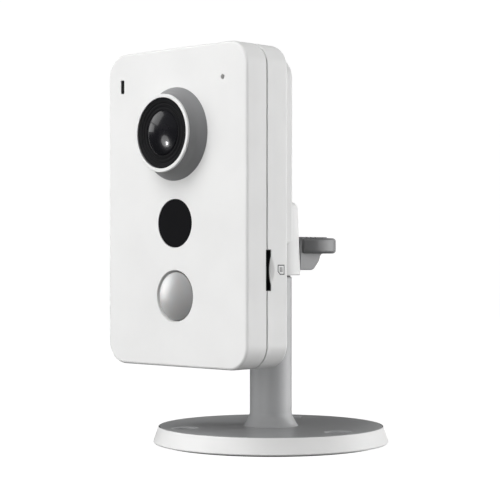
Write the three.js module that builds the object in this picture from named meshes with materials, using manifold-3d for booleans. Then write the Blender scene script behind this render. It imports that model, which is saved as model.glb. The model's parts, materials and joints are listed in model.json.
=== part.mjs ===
// A small indoor security camera on a desk stand, in millimetres.
// Origin: centre of the stand's underside, on the column's axis. +Z is up, and the lens looks along -Y.
// The camera's own pieces are drawn in a local frame: X across, Y the depth behind the front face,
// Z the height above the camera's lower edge.

import * as THREE from 'three';
import { mergeVertices } from 'three/addons/utils/BufferGeometryUtils.js';
import Module from 'manifold-3d';

const wasm = await Module();
wasm.setup();

// ---------------------------------------------------------------- driving dimensions

// Camera body
const BODY_WIDTH = 69.0;
const BODY_HEIGHT = 109.8;
const BODY_CORNER = 8.3;
const FRONT_DEPTH = 9.7;
const SEAM_GAP = 0.3;
const BODY_DEPTH = 20.3;
const WALL = 2.0;
const FRONT_WALL = 2.4;
const EDGE_ROUND = 1.0;
const BLOCK_WIDTH = 63.4;
const BLOCK_TOP = 106.7;
const BLOCK_LOW = 40.3;
const BLOCK_SLOPE = 3.4;
const BLOCK_DEPTH = 5.6;
const BLOCK_CORNER = 8.0;
const BLOCK_LOW_CORNER = 3.0;
const REAR_ROUND = 1.4;
const BLOCK_ROUND = 1.2;

// Where the camera body hangs in the part's frame
const FACE_Y = -48.3;
const BODY_BASE_Z = 30.3;

// Front face features: heights above the camera's lower edge
const LENS_HEIGHT = 80.1;
const LENS_HOLE_R = 14.0;
const LENS_BASE_R = 16.1;
const LENS_RIM_R = 13.4;
const LENS_REACH = 6.5;
const LENS_BORE_R = 12.4;
const BEZEL_R = 11.95;
const FRONT_GLASS_R = 7.6;
const INFRARED_HEIGHT = 49.4;
const INFRARED_R = 8.3;
const MOTION_HEIGHT = 24.3;
const MOTION_HOLE_R = 9.04;
const MOTION_DOME_R = 8.35;
const LIGHT_SLOT = { x: -27.0, height: 98.2, width: 1.8, tall: 4.9 };
const MIC_HOLE = { x: 23.2, height: 98.0, radius: 0.9 };

// Side slot for the memory card
const CARD_SLOT = { low: 26.4, high: 40.3, front: 9.1, back: 11.7 };

// Rear ports
const NETWORK = { x: -18, height: 19.7, width: 16.0, tall: 13.5, front: 6.8, back: 20.2 };
const POWER = { x: 18, height: 16.0, front: 12.5, back: 20.1 };
const RESET = { x: 18, height: 27.0, radius: 1.8, flange: 2.7, front: 16.4, back: 20.1, travel: 0.5 };
const PORT_GAP = 0.3;
const SPEAKER_HEIGHT = 92.0;

// Circuit board
const BOARD_FRONT = 11.0;
const BOARD_BACK = 12.4;
const BOARD_HALF = 30.0;

// Tilt bracket
const BRACKET_PLATE = { height: 55.95, width: 26, tall: 23.5, corner: 3, thickness: 1.8 };
const ARM = { inner: 4.7, outer: 8.2, top: 53, low: 44.4, startTurn: 1.25 };

// Stand
const BASE_R = 42.95;
const BASE_TOP_R = 41.07;
const BASE_TOP = 6.5;
const TOP_PLATE_R = 40.6;
const COLUMN_R = 7.67;
const FLARE_R = 9.95;
const FLARE_TOP = 10.6;
const COLUMN_TOP = 60.8;
const SPIGOT_R = 5.0;
const SPIGOT_TOP = 66.5;
const HEAD_LOW = 61.5;
const HEAD_TOP = 88.4;
const WALL_SCREW_RING = 32.4;
const WALL_SCREW_SEAT_R = 4.5;
const WALL_SCREW_HOLE_R = 1.95;
const PAD_HOLE_R = 4.0;
const BASE_SCREW_RING = 15;
const BORE_R = 5.3;

// Joints
const TILT = { y: -15.0, z: 72.4, radius: 5.5 };
const LEVER = { y: 12.5, z: 72.4, radius: 4.6 };
const PIN_R = 1.5;
const PIN_HOLE_R = 1.6;

// Roundness of turned pieces, as a number of sides
const SMALL = 8;
const COARSE = 12;
const MEDIUM = 20;
const FINE = 36;

// ---------------------------------------------------------------- materials

function finish(color, roughness, metalness = 0) {
  return new THREE.MeshStandardMaterial({ color, roughness, metalness });
}

const white = () => finish(0xf2f2f1, 0.45);
const grey = () => finish(0x9a9b9d, 0.4);
const darkGrey = () => finish(0x7b7c7f, 0.35);
const black = () => finish(0x1b1b1d, 0.4);
const glassy = () => finish(0x0d0e14, 0.05);
const rubber = () => finish(0x2c2c2e, 0.9);
const steel = () => finish(0xb4b6ba, 0.35, 1);
const board = () => finish(0x1f5a3a, 0.6);
const gold = () => finish(0xc9a64d, 0.4, 1);

// ---------------------------------------------------------------- solids

// A closed body for joining and cutting, with shared corners merged and slivers dropped
function solid(geometry) {
  const bare = geometry.clone();
  bare.deleteAttribute('normal');
  if (bare.hasAttribute('uv')) bare.deleteAttribute('uv');
  const merged = mergeVertices(bare, 1e-4);
  const corners = merged.attributes.position.array;
  const index = merged.index.array;
  const kept = [];
  for (let i = 0; i < index.length; i += 3) {
    const [a, b, c] = [index[i], index[i + 1], index[i + 2]];
    if (a !== b && b !== c && c !== a) kept.push(a, b, c);
  }
  if (volume(corners, kept) < 0) kept.reverse();
  return new wasm.Manifold(new wasm.Mesh({
    numProp: 3,
    vertProperties: new Float32Array(corners),
    triVerts: new Uint32Array(kept),
  }));
}

function volume(corners, index) {
  let sum = 0;
  for (let i = 0; i < index.length; i += 3) {
    const [a, b, c] = [0, 1, 2].map((k) => new THREE.Vector3().fromArray(corners, index[i + k] * 3));
    sum += a.dot(b.cross(c)) / 6;
  }
  return sum;
}

function fromSolid(body) {
  const mesh = body.getMesh();
  const geometry = new THREE.BufferGeometry();
  geometry.setAttribute('position', new THREE.BufferAttribute(new Float32Array(mesh.vertProperties), 3));
  geometry.setIndex(new THREE.BufferAttribute(new Uint32Array(mesh.triVerts), 1));
  geometry.computeVertexNormals();
  return geometry;
}

function join(...parts) {
  return fromSolid(parts.map(solid).reduce((sum, part) => sum.add(part)));
}

function cut(base, ...tools) {
  return fromSolid(tools.map(solid).reduce((rest, tool) => rest.subtract(tool), solid(base)));
}

function both(a, b) {
  return fromSolid(solid(a).intersect(solid(b)));
}

// A box from its lowest and highest corners
function block([x0, y0, z0], [x1, y1, z1]) {
  return new THREE.BoxGeometry(x1 - x0, y1 - y0, z1 - z0)
    .translate((x0 + x1) / 2, (y0 + y1) / 2, (z0 + z1) / 2);
}

// A box given by its centre in X and Z, its half sizes, and its Y span
function panel(x, z, halfX, halfZ, y0, y1) {
  return block([x - halfX, y0, z - halfZ], [x + halfX, y1, z + halfZ]);
}

// Rods along each axis
function rodX(radius, x0, x1, y, z, sides = COARSE) {
  return new THREE.CylinderGeometry(radius, radius, x1 - x0, sides)
    .rotateZ(Math.PI / 2).translate((x0 + x1) / 2, y, z);
}

function rodY(radius, y0, y1, x, z, sides = COARSE) {
  return new THREE.CylinderGeometry(radius, radius, y1 - y0, sides).translate(x, (y0 + y1) / 2, z);
}

function rodZ(radius, z0, z1, x, y, sides = COARSE) {
  return new THREE.CylinderGeometry(radius, radius, z1 - z0, sides)
    .rotateX(Math.PI / 2).translate(x, y, (z0 + z1) / 2);
}

// Turned about Y from points [radius, y], or about Z from points [radius, z]
function turnedY(points, sides = FINE) {
  return new THREE.LatheGeometry(points.map(([r, y]) => new THREE.Vector2(r, y)), sides);
}

function turnedZ(points, sides = FINE) {
  return turnedY(points, sides).rotateX(Math.PI / 2);
}

function outline(points) {
  return new THREE.Shape(points.map(([a, b]) => new THREE.Vector2(a, b)));
}

// A rectangle centred on (x, z) with round corners; the lower corners can have their own radius
function roundedRect(x, z, width, height, radius, lowRadius = radius) {
  const [left, right] = [x - width / 2, x + width / 2];
  const [low, high] = [z - height / 2, z + height / 2];
  const shape = new THREE.Shape();
  shape.moveTo(left + lowRadius, low);
  shape.lineTo(right - lowRadius, low);
  shape.absarc(right - lowRadius, low + lowRadius, lowRadius, -Math.PI / 2, 0, false);
  shape.lineTo(right, high - radius);
  shape.absarc(right - radius, high - radius, radius, 0, Math.PI / 2, false);
  shape.lineTo(left + radius, high);
  shape.absarc(left + radius, high - radius, radius, Math.PI / 2, Math.PI, false);
  shape.lineTo(left, low + lowRadius);
  shape.absarc(left + lowRadius, low + lowRadius, lowRadius, Math.PI, Math.PI * 1.5, false);
  return shape;
}

// Pushes an outline through a length, with both rims rounded by `round`
function pushed(shape, length, round, curveSegments) {
  return new THREE.ExtrudeGeometry(shape, {
    depth: length - 2 * round,
    curveSegments,
    bevelEnabled: round > 0,
    bevelThickness: round,
    bevelSize: round,
    bevelOffset: -round,
    bevelSegments: 1,
  });
}

// An outline drawn in X and Z, pushed through from y0 to y1
function pushedY(shape, y0, y1, round = 0) {
  const axes = new THREE.Matrix4().makeBasis(
    new THREE.Vector3(1, 0, 0), new THREE.Vector3(0, 0, 1), new THREE.Vector3(0, -1, 0));
  return pushed(shape, y1 - y0, round, 4).applyMatrix4(axes).translate(0, y1 - round, 0);
}

// An outline drawn in Y and Z, pushed through from x0 to x1
function pushedX(shape, x0, x1) {
  const axes = new THREE.Matrix4().makeBasis(
    new THREE.Vector3(0, 1, 0), new THREE.Vector3(0, 0, 1), new THREE.Vector3(1, 0, 0));
  return pushed(shape, x1 - x0, 0, 6).applyMatrix4(axes).translate(x0, 0, 0);
}

// A screw along Y: its round head at the back, its shank towards the front
function screwY(x, z, headBack, headTall, headR, shankR, tip) {
  const under = headBack - headTall;
  const profile = [[0, tip], [shankR, tip], [shankR, under], [headR, under], [headR, headBack - 0.3],
    [headR - 0.4, headBack], [0.9, headBack], [0.7, headBack - 0.6], [0, headBack - 0.6]];
  return turnedY(profile, SMALL).translate(x, 0, z);
}

const model = new THREE.Group();

function place(group, name, geometry, material) {
  const mesh = new THREE.Mesh(geometry, material);
  mesh.name = name;
  group.add(mesh);
}

// ---------------------------------------------------------------- stand

const stand = new THREE.Group();
model.add(stand);

const wallScrewSpots = [0, 1, 2].map((k) => {
  const angle = k * 2 * Math.PI / 3;
  return [WALL_SCREW_RING * Math.cos(angle), WALL_SCREW_RING * Math.sin(angle)];
});
const baseScrewSpots = [0, 1, 2].map((k) => {
  const angle = Math.PI / 3 + k * 2 * Math.PI / 3;
  return [BASE_SCREW_RING * Math.cos(angle), BASE_SCREW_RING * Math.sin(angle)];
});

const PAD_TOP = 1.0;
const FLOOR_LOW = 1.1;
const FLOOR_TOP = 2.4;
const PLATE_LOW = 4.6;

function basePad() {
  const pad = turnedZ([[0, 0], [40.2, 0], [40.5, 0.3], [40.5, PAD_TOP], [0, PAD_TOP]]);
  return cut(pad, ...wallScrewSpots.map(([x, y]) => rodZ(PAD_HOLE_R, -1, 2, x, y)));
}

function baseBody() {
  const profile = [[0, FLOOR_LOW], [40.8, FLOOR_LOW], [40.8, 0.6], [42.6, 0.6], [BASE_R, 1.0],
    [BASE_TOP_R, BASE_TOP], [40.9, BASE_TOP], [40.9, PLATE_LOW], [39.2, PLATE_LOW],
    [39.2, FLOOR_TOP], [0, FLOOR_TOP]];
  const holes = wallScrewSpots.map(([x, y]) => rodZ(WALL_SCREW_HOLE_R, 0, 3, x, y));
  const screwSeats = baseScrewSpots.map(([x, y]) => rodZ(2.7, 0.5, 1.9, x, y, SMALL));
  const screwHoles = baseScrewSpots.map(([x, y]) => rodZ(1.3, 0.5, 3, x, y, SMALL));
  return cut(turnedZ(profile), ...holes, ...screwSeats, ...screwHoles);
}

function baseWeight() {
  const disc = turnedZ([[0, 2.5], [38.8, 2.5], [38.8, 4.4], [0, 4.4]], MEDIUM);
  return cut(disc,
    ...wallScrewSpots.map(([x, y]) => rodZ(6.5, 2, 5, x, y)),
    ...baseScrewSpots.map(([x, y]) => rodZ(1.6, 2, 5, x, y, SMALL)));
}

function standColumn() {
  const flare = [];
  const steps = 3;
  for (let i = 0; i <= steps; i += 1) {
    const turn = (i / steps) * Math.PI / 2;
    const reach = FLARE_R - COLUMN_R;
    const rise = FLARE_TOP - BASE_TOP;
    flare.push([FLARE_R - reach * Math.sin(turn), FLARE_TOP - rise * Math.cos(turn)]);
  }
  const groove = { low: 63.6, high: 64.6, radius: 4.3 };
  const profile = [[0, PLATE_LOW + 0.1], [TOP_PLATE_R, PLATE_LOW + 0.1], [TOP_PLATE_R, BASE_TOP - 0.2],
    [TOP_PLATE_R - 0.2, BASE_TOP], ...flare, [COLUMN_R, COLUMN_TOP], [SPIGOT_R, COLUMN_TOP],
    [SPIGOT_R, groove.low], [groove.radius, groove.low], [groove.radius, groove.high],
    [SPIGOT_R, groove.high], [SPIGOT_R, SPIGOT_TOP - 0.6], [SPIGOT_R - 0.6, SPIGOT_TOP], [0, SPIGOT_TOP]];
  const bosses = wallScrewSpots.map(([x, y]) => rodZ(6.0, FLOOR_TOP + 0.1, PLATE_LOW + 0.5, x, y));
  const seats = wallScrewSpots.map(([x, y]) => rodZ(WALL_SCREW_SEAT_R, 3.6, 8, x, y, MEDIUM));
  const holes = wallScrewSpots.map(([x, y]) => rodZ(WALL_SCREW_HOLE_R, 2, 8, x, y));
  const screwHoles = baseScrewSpots.map(([x, y]) => rodZ(1.2, 4, 6.0, x, y, SMALL));
  return cut(join(turnedZ(profile), ...bosses), ...seats, ...holes, ...screwHoles);
}

function baseScrew(x, y) {
  const profile = [[0, 1.15], [0.8, 1.15], [2.3, 1.3], [2.3, 1.8], [1.0, 1.8], [1.0, 5.6], [0, 5.6]];
  return turnedZ(profile, SMALL).translate(x, y, 0);
}

function swivelWasher() {
  const [low, high] = [COLUMN_TOP + 0.05, COLUMN_TOP + 0.5];
  return turnedZ([[BORE_R, low], [7.2, low], [7.2, high], [BORE_R, high], [BORE_R, low]], MEDIUM);
}

function swivelClip() {
  const [low, high] = [63.8, 64.4];
  const ring = turnedZ([[4.5, low], [5.7, low], [5.7, high], [4.5, high], [4.5, low]], MEDIUM);
  return cut(ring, block([-1.5, 3, 63], [1.5, 7, 65]));
}

place(stand, 'base_pad', basePad(), rubber());
place(stand, 'base_body', baseBody(), white());
place(stand, 'base_weight', baseWeight(), steel());
place(stand, 'stand_column', standColumn(), grey());
baseScrewSpots.forEach(([x, y], k) => place(stand, `base_screw_${k + 1}`, baseScrew(x, y), steel()));
place(stand, 'swivel_washer', swivelWasher(), black());
place(stand, 'swivel_clip', swivelClip(), steel());

// ---------------------------------------------------------------- swivel head, its link and pins

const head = new THREE.Group();
model.add(head);

const SLOT_HALF = 1.8;
const SLOT_LOW = 69.0;
const SLOT_HIGH = 75.8;
const HEAD_BACK = 7.4;
const TONGUE_HALF = 4.4;
const TONGUE_R = 4.9;

// A tapered round body with a rounded top edge and a flat back for the lever
function headBlock() {
  const lowR = 10.8;
  const highR = 9.75;
  const round = 2.9;
  const lip = 0.3;
  const profile = [[0, HEAD_LOW], [lowR - lip, HEAD_LOW], [lowR, HEAD_LOW + lip], [highR, HEAD_TOP - round]];
  const steps = 3;
  for (let i = 1; i <= steps; i += 1) {
    const turn = (i / steps) * Math.PI / 2;
    profile.push([highR - round * (1 - Math.cos(turn)), HEAD_TOP - round * (1 - Math.sin(turn))]);
  }
  profile.push([0, HEAD_TOP]);
  const clearance = TILT.radius + 0.6;
  return cut(turnedZ(profile),
    block([-20, HEAD_BACK, 50], [20, 30, 100]),
    rodX(clearance, -ARM.outer - 0.5, ARM.outer + 0.5, TILT.y, TILT.z, MEDIUM));
}

// The tongue reaches forward to the tilt pin, round about its axis
function headTongue() {
  const shape = new THREE.Shape();
  shape.moveTo(-6, TILT.z + TONGUE_R);
  shape.lineTo(TILT.y, TILT.z + TONGUE_R);
  shape.absarc(TILT.y, TILT.z, TONGUE_R, Math.PI / 2, Math.PI * 1.5, false);
  shape.lineTo(-6, TILT.z - TONGUE_R);
  return pushedX(shape, -TONGUE_HALF, TONGUE_HALF);
}

function swivelHead() {
  const clipGroove = { low: 63.4, high: 64.8, radius: 5.95 };
  const bore = turnedZ([[0, HEAD_LOW - 1.5], [BORE_R, HEAD_LOW - 1.5], [BORE_R, clipGroove.low],
    [clipGroove.radius, clipGroove.low], [clipGroove.radius, clipGroove.high], [BORE_R, clipGroove.high],
    [BORE_R, SPIGOT_TOP + 0.4], [0, SPIGOT_TOP + 0.4]], MEDIUM);
  return cut(join(headBlock(), headTongue()),
    bore,
    block([-SLOT_HALF, -25, SLOT_LOW], [SLOT_HALF, 12, SLOT_HIGH]),
    rodX(PIN_HOLE_R, -6, 6, TILT.y, TILT.z));
}

function clampLink() {
  const thickness = 1.5;
  const eye = 3.1;
  const half = 2.2;
  return cut(
    join(
      rodX(eye, -thickness, thickness, TILT.y, TILT.z, MEDIUM),
      rodX(eye, -thickness, thickness, LEVER.y, LEVER.z, MEDIUM),
      block([-thickness, TILT.y, TILT.z - half], [thickness, LEVER.y, TILT.z + half])),
    rodX(PIN_HOLE_R, -4, 4, TILT.y, TILT.z),
    rodX(PIN_HOLE_R, -4, 4, LEVER.y, LEVER.z));
}

place(head, 'swivel_head', swivelHead(), white());
place(head, 'clamp_link', clampLink(), steel());
place(head, 'tilt_pin', rodX(PIN_R, -8.0, 8.0, TILT.y, TILT.z), steel());
place(head, 'lever_pin', rodX(PIN_R, -6.9, 6.9, LEVER.y, LEVER.z), steel());

// ---------------------------------------------------------------- locking lever

const lever = new THREE.Group();
model.add(lever);

const LEVER_TOP = 75.5;
const LEVER_UNDER = 69.4;
const HUB_LOW = 63.3;
const HUB_HALF = 7.4;
const PADDLE_R = 12.0;
const PADDLE_Y = 18.0;

function lockLever() {
  const hub = new THREE.Shape();
  const side = LEVER.radius;
  const topTurn = Math.PI - Math.asin((LEVER_TOP - LEVER.z) / side);
  hub.moveTo(LEVER.y - side, HUB_LOW);
  hub.lineTo(13.8, HUB_LOW);
  hub.quadraticCurveTo(17.6, 63.6, 18.8, 67.0);
  hub.quadraticCurveTo(19.6, LEVER_UNDER, 21.6, LEVER_UNDER + 0.1);
  hub.lineTo(21.6, LEVER_TOP);
  hub.absarc(LEVER.y, LEVER.z, side, topTurn, Math.PI, false);
  const paddle = rodZ(PADDLE_R, LEVER_UNDER, LEVER_TOP - 0.4, 0, PADDLE_Y, FINE);
  const rearPaddle = both(paddle, block([-20, LEVER.y - 3.2, 60], [20, 40, 80]));
  const grooves = [0, 1, 2].map((k) => {
    const y = 10.9 + 2.4 * k;
    return block([-20, y, LEVER_TOP - 0.5], [20, y + 0.9, LEVER_TOP + 1]);
  });
  return cut(join(pushedX(hub, -HUB_HALF, HUB_HALF), rearPaddle),
    block([-2.0, 5, 60], [2.0, LEVER.y + 3.6, 80]),
    rodX(PIN_HOLE_R, -7.1, 7.1, LEVER.y, LEVER.z),
    ...grooves);
}

place(lever, 'lock_lever', lockLever(), darkGrey());

// ---------------------------------------------------------------- camera

const camera = new THREE.Group();
camera.position.set(0, FACE_Y, BODY_BASE_Z);
model.add(camera);

const MID = BODY_HEIGHT / 2;
const COVER_SCREWS = [
  { x: -27, z: 7, back: BODY_DEPTH - 0.2 },
  { x: 27, z: 7, back: BODY_DEPTH - 0.2 },
  { x: -16, z: 101.2, back: BODY_DEPTH + BLOCK_DEPTH - 0.9 },
  { x: 16, z: 101.2, back: BODY_DEPTH + BLOCK_DEPTH - 0.9 },
];
const BOARD_SCREWS = [[-27, 38], [-27, 75], [27, 75]];
const SENSOR_SCREWS = [[-12.5, LENS_HEIGHT + 12.5], [12.5, LENS_HEIGHT - 12.5]];
const BRACKET_SCREWS = [[-10.6, 48.7], [10.6, 48.7], [-10.6, 62.7], [10.6, 62.7]];
const BOSS_END = BOARD_FRONT - 0.1;
const BLOCK_BACK = BODY_DEPTH + BLOCK_DEPTH;

function cardSlotCut() {
  return block([31, CARD_SLOT.front, CARD_SLOT.low], [36, CARD_SLOT.back, CARD_SLOT.high]);
}

function frontCover() {
  const shape = roundedRect(0, MID, BODY_WIDTH, BODY_HEIGHT, BODY_CORNER);
  const outer = both(pushedY(shape, 0, FRONT_DEPTH + 4, EDGE_ROUND),
    block([-50, -1, -5], [50, FRONT_DEPTH, 120]));
  const inside = roundedRect(0, MID, BODY_WIDTH - 2 * WALL, BODY_HEIGHT - 2 * WALL, BODY_CORNER - WALL);
  const lightSlot = roundedRect(LIGHT_SLOT.x, LIGHT_SLOT.height, LIGHT_SLOT.width, LIGHT_SLOT.tall, 0.5);
  const shell = cut(outer, pushedY(inside, FRONT_WALL, FRONT_DEPTH + 5));
  const root = FRONT_WALL - 0.4;
  const bosses = [
    ...COVER_SCREWS.map(({ x, z }) => rodY(2.8, root, BOSS_END, x, z, SMALL)),
    ...BOARD_SCREWS.map(([x, z]) => rodY(2.4, root, BOSS_END, x, z, SMALL)),
    ...SENSOR_SCREWS.map(([x, z]) => rodY(2.0, root, 8.8, x, z, SMALL)),
    ...[-9.5, 9.5].map((x) => rodY(1.2, root, 5.9, x, INFRARED_HEIGHT, SMALL)),
  ];
  const holes = [
    ...COVER_SCREWS.map(({ x, z }) => rodY(1.15, 4.0, 12, x, z, SMALL)),
    ...BOARD_SCREWS.map(([x, z]) => rodY(0.95, 5.5, 12, x, z, SMALL)),
    ...SENSOR_SCREWS.map(([x, z]) => rodY(0.95, 4.5, 12, x, z, SMALL)),
  ];
  return cut(join(shell, ...bosses),
    ...holes,
    rodY(LENS_HOLE_R, -1, 4, 0, LENS_HEIGHT, MEDIUM),
    rodY(INFRARED_R + 0.15, -1, 1.4, 0, INFRARED_HEIGHT, MEDIUM),
    rodY(7.2, -1, 4, 0, INFRARED_HEIGHT, MEDIUM),
    rodY(MOTION_HOLE_R, -1, 4, 0, MOTION_HEIGHT, MEDIUM),
    rodY(MIC_HOLE.radius, -1, 4, MIC_HOLE.x, MIC_HOLE.height, SMALL),
    pushedY(lightSlot, -1, 4),
    cardSlotCut());
}

function rearShell() {
  const seam = FRONT_DEPTH + SEAM_GAP;
  const shape = roundedRect(0, MID, BODY_WIDTH, BODY_HEIGHT, BODY_CORNER);
  const whole = pushedY(shape, seam - 4, BODY_DEPTH, REAR_ROUND);
  const outer = both(whole, block([-50, seam, -5], [50, 40, 120]));
  const blockMid = (BLOCK_TOP + BLOCK_LOW) / 2;
  const blockTall = BLOCK_TOP - BLOCK_LOW;
  const raised = pushedY(roundedRect(0, blockMid, BLOCK_WIDTH, blockTall, BLOCK_CORNER, BLOCK_LOW_CORNER),
    BODY_DEPTH - 2.5, BLOCK_BACK, BLOCK_ROUND);
  const slopeBack = BLOCK_BACK + 1;
  const slope = outline([
    [BODY_DEPTH, BLOCK_LOW - 0.2],
    [slopeBack, BLOCK_LOW + BLOCK_SLOPE + 0.6],
    [slopeBack, BLOCK_LOW - 3],
    [BODY_DEPTH, BLOCK_LOW - 3],
  ]);
  return join(outer, cut(raised, pushedX(slope, -50, 50)));
}

function rearCover() {
  const inside = roundedRect(0, MID, BODY_WIDTH - 2 * WALL, BODY_HEIGHT - 2 * WALL, BODY_CORNER - WALL);
  const blockInside = roundedRect(0, 75.2, BLOCK_WIDTH - 4, 59, BLOCK_CORNER - WALL);
  const shell = cut(rearShell(),
    pushedY(inside, 5, BODY_DEPTH - WALL),
    pushedY(blockInside, 16, BLOCK_BACK - WALL));
  const bossFront = BOARD_BACK + 0.1;
  const bosses = [
    ...COVER_SCREWS.map(({ x, z, back }) => rodY(3.2, bossFront, back - 0.7, x, z, SMALL)),
    ...BRACKET_SCREWS.map(([x, z]) => rodY(2.6, BODY_DEPTH - WALL, BLOCK_BACK - 1.7, x, z, SMALL)),
  ];
  const holes = [
    ...COVER_SCREWS.map(({ x, z }) => rodY(1.3, 11, BLOCK_BACK + 1, x, z, SMALL)),
    ...COVER_SCREWS.map(({ x, z, back }) => rodY(2.5, back - 1.2, BLOCK_BACK + 1, x, z, SMALL)),
    ...BRACKET_SCREWS.map(([x, z]) => rodY(1.15, 18, BLOCK_BACK + 1, x, z, SMALL)),
  ];
  const slots = [-1.5, -0.5, 0.5, 1.5].map((k) => {
    const height = SPEAKER_HEIGHT + 2.8 * k;
    return panel(0, height, 8, 0.65, BLOCK_BACK - 3, BLOCK_BACK + 1);
  });
  const port = roundedRect(POWER.x, POWER.height, 8.5, 3.6, 0.5);
  const scoopR = 6.55;
  const scoopHigh = (CARD_SLOT.low + CARD_SLOT.high) / 2;
  return cut(join(shell, ...bosses),
    ...holes,
    ...slots,
    panel(NETWORK.x, NETWORK.height, NETWORK.width / 2 + PORT_GAP, NETWORK.tall / 2 + PORT_GAP, 16, 22),
    pushedY(port, 16, 22),
    rodY(RESET.radius + PORT_GAP, 16, 22, RESET.x, RESET.height),
    rodX(scoopR, BODY_WIDTH / 2 - 0.9, 40, CARD_SLOT.back + 2.2 - scoopR, scoopHigh, MEDIUM),
    cardSlotCut());
}

place(camera, 'front_cover', frontCover(), white());
place(camera, 'rear_cover', rearCover(), white());
COVER_SCREWS.forEach(({ x, z, back }, k) => {
  place(camera, `cover_screw_${k + 1}`, screwY(x, z, back, 1.1, 2.2, 1.0, 4.6), steel());
});

// Lens group, turned about its own axis
const optics = new THREE.Group();
optics.position.set(0, 0, LENS_HEIGHT);
camera.add(optics);

function lensSurround() {
  const skirt = LENS_HOLE_R - 0.3;
  return turnedY([[LENS_BORE_R, -5.65], [LENS_RIM_R + 0.05, -5.65], [14.2, -3.2], [LENS_BASE_R - 0.5, -0.8],
    [LENS_BASE_R, -0.05], [skirt, -0.05], [skirt, 3.4], [LENS_BORE_R, 3.4], [LENS_BORE_R, -5.65]]);
}

function lensTrimRing() {
  return turnedY([[12.12, -6.2], [12.4, -LENS_REACH], [13.1, -LENS_REACH], [LENS_RIM_R, -6.2],
    [LENS_RIM_R, -5.75], [12.12, -5.75], [12.12, -6.2]]);
}

function lensBezel() {
  const inner = FRONT_GLASS_R + 0.15;
  return turnedY([[BEZEL_R, -5.8], [BEZEL_R, 2.0], [inner, 2.0], [inner, -5.8], [8.6, -5.8], [8.8, -5.6],
    [9.5, -5.6], [9.7, -5.8], [11.5, -6.0], [BEZEL_R, -5.8]], MEDIUM);
}

// A dome of a given radius, apex height in front of its rim, with a straight edge behind
function dome(radius, apex, rim, back, sides, steps) {
  const rise = rim - apex;
  const sphere = (radius * radius + rise * rise) / (2 * rise);
  const edge = Math.asin(radius / sphere);
  const points = [];
  for (let i = 0; i <= steps; i += 1) {
    const turn = edge * i / steps;
    points.push([sphere * Math.sin(turn), apex + sphere * (1 - Math.cos(turn))]);
  }
  points[0][0] = 0;
  return turnedY([...points, [radius, back], [0, back]], sides);
}

function lensMount() {
  const wide = panel(0, 0, 8.5, 8.5, 3.2, 8.7);
  return cut(wide, rodY(6.15, 2, 10, 0, 0, MEDIUM));
}

function sensorBoard() {
  return cut(panel(0, 0, 14.5, 14.5, 8.9, 10.1),
    ...SENSOR_SCREWS.map(([x, z]) => rodY(1.1, 8, 11, x, z - LENS_HEIGHT, SMALL)));
}

place(optics, 'lens_surround', lensSurround(), grey());
place(optics, 'lens_trim_ring', lensTrimRing(), white());
place(optics, 'lens_bezel', lensBezel(), black());
place(optics, 'lens_front_element', dome(FRONT_GLASS_R, -7.8, -5.9, 1.0, MEDIUM, 5), glassy());
place(optics, 'lens_barrel',
  turnedY([[0, 1.2], [7.2, 1.2], [7.2, 2.4], [6.0, 2.4], [6.0, 7.4], [0, 7.4]], MEDIUM), black());
place(optics, 'lens_mount', lensMount(), black());
place(optics, 'image_sensor', panel(0, 0, 4.2, 3.2, 7.9, 8.8), glassy());
place(optics, 'sensor_board', sensorBoard(), board());
SENSOR_SCREWS.forEach(([x, z], k) => {
  place(camera, `sensor_screw_${k + 1}`, screwY(x, z, 11.4, 1.2, 1.9, 0.8, 5), steel());
});

// Infrared lamps behind their window
function infraredWindow() {
  const r = INFRARED_R;
  return turnedY([[0, 0.05], [r - 0.2, 0.05], [r, 0.25], [r, 1.35], [0, 1.35]], MEDIUM)
    .translate(0, 0, INFRARED_HEIGHT);
}

function infraredLamp(x) {
  const base = panel(x, INFRARED_HEIGHT, 1.8, 1.8, 4.9, 5.9);
  return join(base, dome(1.4, 3.9, 4.8, 5.2, COARSE, 3).translate(x, 0, INFRARED_HEIGHT));
}

place(camera, 'infrared_window', infraredWindow(), black());
place(camera, 'infrared_lamp_left', infraredLamp(-3.4), gold());
place(camera, 'infrared_lamp_right', infraredLamp(3.4), gold());
place(camera, 'infrared_board', panel(0, INFRARED_HEIGHT, 11.5, 5.5, 6.0, 7.2), board());

// Motion sensor behind its dome
function motionDome() {
  const cap = dome(MOTION_DOME_R, -2.0, 0.6, 1.9, MEDIUM, 5);
  const flange = turnedY([[0, 1.6], [8.85, 1.6], [8.85, 2.6], [10.2, 2.6], [10.2, 3.4], [0, 3.4]], MEDIUM);
  const hollow = turnedY([[0, -0.9], [5.0, 0.2], [7.4, 2.0], [7.4, 4.0], [0, 4.0]], MEDIUM);
  return cut(join(cap, flange), hollow).translate(0, 0, MOTION_HEIGHT);
}

function motionSensor() {
  const can = [[0, 6.6], [4.1, 6.6], [4.3, 6.8], [4.3, 10.0], [4.9, 10.0], [4.9, 10.8], [0, 10.8]];
  return turnedY(can, MEDIUM).translate(0, 0, MOTION_HEIGHT);
}

place(camera, 'motion_dome', motionDome(), white());
place(camera, 'motion_sensor', motionSensor(), steel());

// Status light and microphone
function lightPipe() {
  const { x, height, width, tall } = LIGHT_SLOT;
  const stem = roundedRect(x, height, width - 0.2, tall - 0.2, 0.4);
  return join(pushedY(stem, 0.2, 8.6), panel(x, height, 1.7, 3.2, 2.6, 3.5));
}

function microphone() {
  const { x, height } = MIC_HOLE;
  return turnedY([[0, 2.6], [2.4, 2.6], [2.6, 2.8], [2.6, 4.8], [0, 4.8]], COARSE).translate(x, 0, height);
}

place(camera, 'light_pipe', lightPipe(), darkGrey());
place(camera, 'status_lamp', panel(LIGHT_SLOT.x, LIGHT_SLOT.height, 0.8, 1.4, 9.4, 10.9), gold());
place(camera, 'microphone', microphone(), black());

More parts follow.
